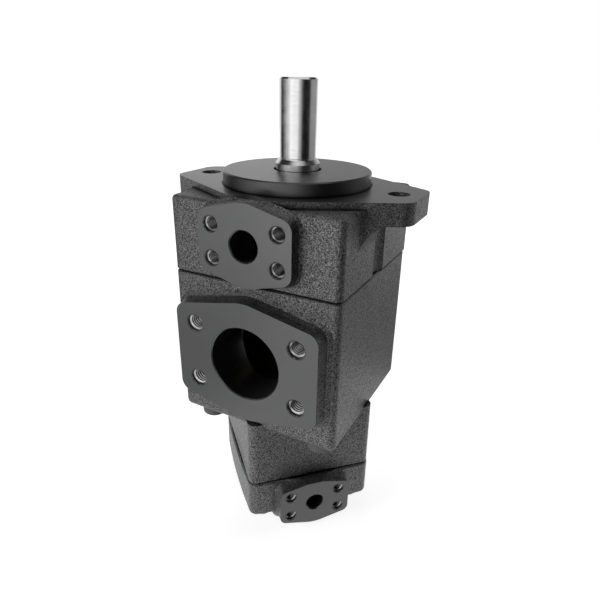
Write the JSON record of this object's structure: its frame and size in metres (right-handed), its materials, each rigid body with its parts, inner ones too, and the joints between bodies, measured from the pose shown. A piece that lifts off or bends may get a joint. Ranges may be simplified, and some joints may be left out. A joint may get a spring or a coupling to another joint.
{
  "type": "hydraulic vane pump",
  "caption": "Double hydraulic vane pump with a two-bolt flange, keyed drive shaft, shared suction port and a discharge port for each pumping cartridge.",
  "frame": {"origin": "on the shaft axis in the flange's mounting face, at the centre of the two flange bolts", "axes": "+Z along the shaft out of the drive end, -Y is the way the suction port and the large discharge port face, X runs through the flange bolts"},
  "size_m": [0.1776, 0.1386, 0.3258],
  "materials": {
    "painted_casting": "rough dark paint on sand-cast iron, machined faces smooth",
    "shaft_steel": "ground and polished steel",
    "screw_steel": "dark paint over black oxide screws",
    "plain_steel": "plain spring steel",
    "bearing_steel": "polished bearing steel",
    "hardened_steel": "ground hardened steel",
    "bronze_plate": "bronze-faced port plate",
    "bush_bronze": "plain bearing bronze",
    "cage_plastic": "moulded polyamide",
    "seal_rubber": "nitrile rubber"
  },
  "bodies": {
    "housing": {"front_housing": "painted_casting", "centre_body": "painted_casting", "rear_cover": "painted_casting", "housing_screws": "screw_steel", "rear_cover_screws": "screw_steel", "shaft_seal_case": "plain_steel", "shaft_seal_lip": "seal_rubber", "shaft_seal_spring": "plain_steel", "bearing_outer_race": "bearing_steel", "bearing_circlip": "plain_steel", "large_front_side_plate": "bronze_plate", "large_cam_ring": "hardened_steel", "large_rear_side_plate": "bronze_plate", "large_cartridge_screws": "screw_steel", "large_dowel_pins": "bearing_steel", "small_front_side_plate": "bronze_plate", "small_cam_ring": "hardened_steel", "small_rear_side_plate": "bronze_plate", "small_cartridge_screws": "screw_steel", "small_dowel_pins": "bearing_steel", "rear_bush": "bush_bronze", "front_seam_seal": "seal_rubber", "rear_seam_seal": "seal_rubber", "large_hub_seal": "seal_rubber", "large_rim_seal": "seal_rubber", "small_hub_seal": "seal_rubber", "small_rim_seal": "seal_rubber"},
    "shaft": {"drive_shaft": "shaft_steel", "shaft_key": "shaft_steel", "bearing_inner_race": "bearing_steel", "shaft_snap_ring": "plain_steel", "large_rotor": "hardened_steel", "small_rotor": "hardened_steel"},
    "ball_cage": {"bearing_balls": "bearing_steel", "bearing_cage": "cage_plastic"},
    "large_vane_01": {"large_vane_01": "hardened_steel"},
    "large_vane_02": {"large_vane_02": "hardened_steel"},
    "large_vane_03": {"large_vane_03": "hardened_steel"},
    "large_vane_04": {"large_vane_04": "hardened_steel"},
    "large_vane_05": {"large_vane_05": "hardened_steel"},
    "large_vane_06": {"large_vane_06": "hardened_steel"},
    "large_vane_07": {"large_vane_07": "hardened_steel"},
    "large_vane_08": {"large_vane_08": "hardened_steel"},
    "large_vane_09": {"large_vane_09": "hardened_steel"},
    "large_vane_10": {"large_vane_10": "hardened_steel"},
    "small_vane_01": {"small_vane_01": "hardened_steel"},
    "small_vane_02": {"small_vane_02": "hardened_steel"},
    "small_vane_03": {"small_vane_03": "hardened_steel"},
    "small_vane_04": {"small_vane_04": "hardened_steel"},
    "small_vane_05": {"small_vane_05": "hardened_steel"},
    "small_vane_06": {"small_vane_06": "hardened_steel"},
    "small_vane_07": {"small_vane_07": "hardened_steel"},
    "small_vane_08": {"small_vane_08": "hardened_steel"},
    "small_vane_09": {"small_vane_09": "hardened_steel"},
    "small_vane_10": {"small_vane_10": "hardened_steel"}
  },
  "joints": [
    {"name": "shaft_spin", "type": "hinge", "parent": "housing", "child": "shaft", "pos_m": [0, 0, 0], "axis": [0, 0, 1], "continuous": true},
    {"name": "cage_spin", "type": "hinge", "parent": "housing", "child": "ball_cage", "pos_m": [0, 0, -0.012], "axis": [0, 0, 1], "continuous": true},
    {"name": "large_vane_01_slide", "type": "slide", "parent": "shaft", "child": "large_vane_01", "axis": [1, 0, 0], "range_m": [-0.002, 0]},
    {"name": "large_vane_02_slide", "type": "slide", "parent": "shaft", "child": "large_vane_02", "axis": [0.809, 0.5878, 0], "range_m": [-0.002, 0]},
    {"name": "large_vane_03_slide", "type": "slide", "parent": "shaft", "child": "large_vane_03", "axis": [0.309, 0.9511, 0], "range_m": [-0.002, 0]},
    {"name": "large_vane_04_slide", "type": "slide", "parent": "shaft", "child": "large_vane_04", "axis": [-0.309, 0.9511, 0], "range_m": [-0.002, 0]},
    {"name": "large_vane_05_slide", "type": "slide", "parent": "shaft", "child": "large_vane_05", "axis": [-0.809, 0.5878, 0], "range_m": [-0.002, 0]},
    {"name": "large_vane_06_slide", "type": "slide", "parent": "shaft", "child": "large_vane_06", "axis": [-1, 0, 0], "range_m": [-0.002, 0]},
    {"name": "large_vane_07_slide", "type": "slide", "parent": "shaft", "child": "large_vane_07", "axis": [-0.809, -0.5878, 0], "range_m": [-0.002, 0]},
    {"name": "large_vane_08_slide", "type": "slide", "parent": "shaft", "child": "large_vane_08", "axis": [-0.309, -0.9511, 0], "range_m": [-0.002, 0]},
    {"name": "large_vane_09_slide", "type": "slide", "parent": "shaft", "child": "large_vane_09", "axis": [0.309, -0.9511, 0], "range_m": [-0.002, 0]},
    {"name": "large_vane_10_slide", "type": "slide", "parent": "shaft", "child": "large_vane_10", "axis": [0.809, -0.5878, 0], "range_m": [-0.002, 0]},
    {"name": "small_vane_01_slide", "type": "slide", "parent": "shaft", "child": "small_vane_01", "axis": [1, 0, 0], "range_m": [-0.002, 0]},
    {"name": "small_vane_02_slide", "type": "slide", "parent": "shaft", "child": "small_vane_02", "axis": [0.809, 0.5878, 0], "range_m": [-0.002, 0]},
    {"name": "small_vane_03_slide", "type": "slide", "parent": "shaft", "child": "small_vane_03", "axis": [0.309, 0.9511, 0], "range_m": [-0.002, 0]},
    {"name": "small_vane_04_slide", "type": "slide", "parent": "shaft", "child": "small_vane_04", "axis": [-0.309, 0.9511, 0], "range_m": [-0.002, 0]},
    {"name": "small_vane_05_slide", "type": "slide", "parent": "shaft", "child": "small_vane_05", "axis": [-0.809, 0.5878, 0], "range_m": [-0.002, 0]},
    {"name": "small_vane_06_slide", "type": "slide", "parent": "shaft", "child": "small_vane_06", "axis": [-1, 0, 0], "range_m": [-0.002, 0]},
    {"name": "small_vane_07_slide", "type": "slide", "parent": "shaft", "child": "small_vane_07", "axis": [-0.809, -0.5878, 0], "range_m": [-0.002, 0]},
    {"name": "small_vane_08_slide", "type": "slide", "parent": "shaft", "child": "small_vane_08", "axis": [-0.309, -0.9511, 0], "range_m": [-0.002, 0]},
    {"name": "small_vane_09_slide", "type": "slide", "parent": "shaft", "child": "small_vane_09", "axis": [0.309, -0.9511, 0], "range_m": [-0.002, 0]},
    {"name": "small_vane_10_slide", "type": "slide", "parent": "shaft", "child": "small_vane_10", "axis": [0.809, -0.5878, 0], "range_m": [-0.002, 0]}
  ],
  "couplings": [
    {"joint": "cage_spin", "follows": "shaft_spin", "ratio": 0.41595}
  ]
}
